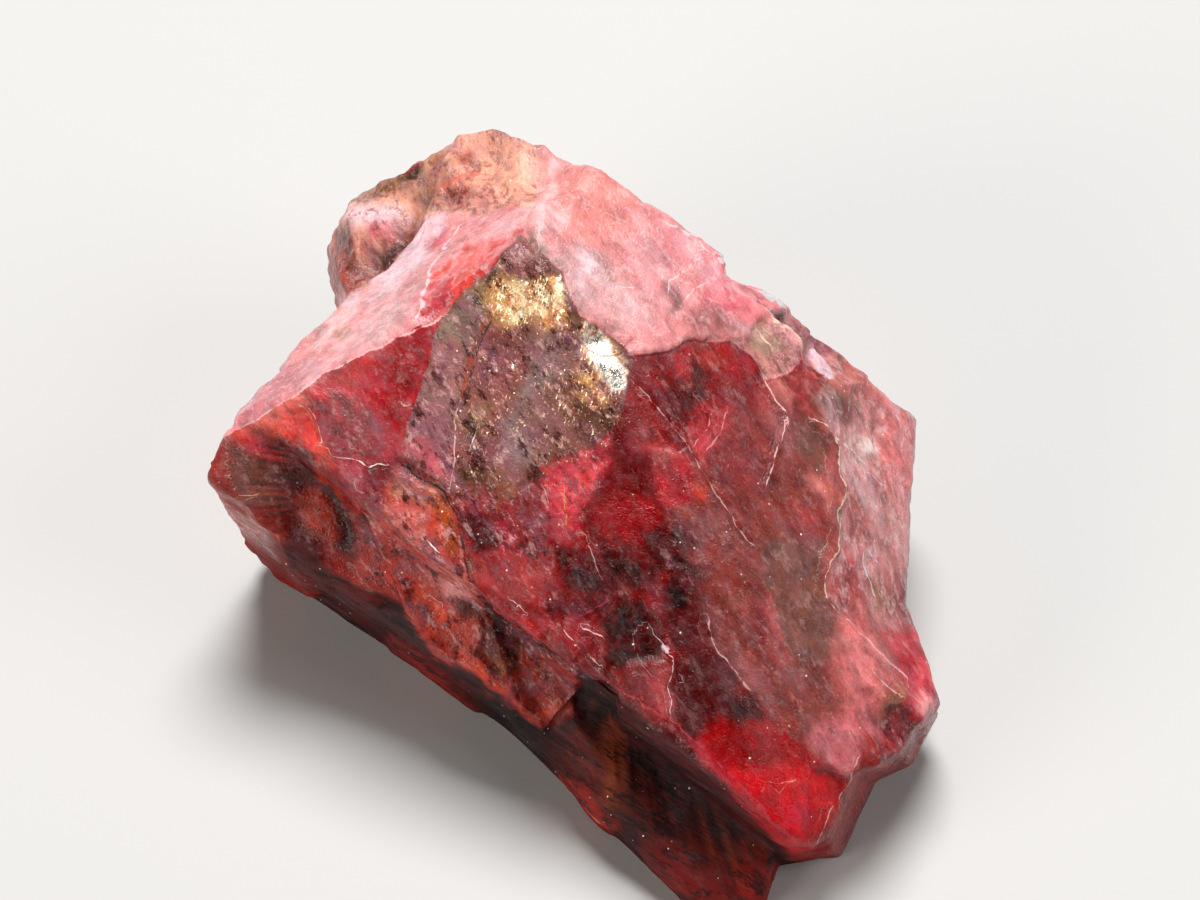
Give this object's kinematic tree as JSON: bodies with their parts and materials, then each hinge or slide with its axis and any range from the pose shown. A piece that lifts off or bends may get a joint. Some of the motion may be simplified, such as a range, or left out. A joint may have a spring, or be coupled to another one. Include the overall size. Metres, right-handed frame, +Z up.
{
  "type": "rhodonite specimen",
  "caption": "Broken hand specimen of pink to deep red rhodonite with flat cleavage faces, a knob, a jutting block and a flat underside.",
  "frame": {"origin": "middle of the stone's footprint box, on the plane of its flat underside", "axes": "+Z up, out of the underside; -Y towards the side that the broad sloping face looks to; +X to the right seen from there"},
  "size_m": [0.0503, 0.0552, 0.0312],
  "materials": {
    "rhodonite": "natural broken mineral, glassy on fresh cleavage, deep red to pale pink with a bronze-brown veil and dark brown matrix"
  },
  "bodies": {
    "root": {"rhodonite": "rhodonite"}
  },
  "joints": []
}
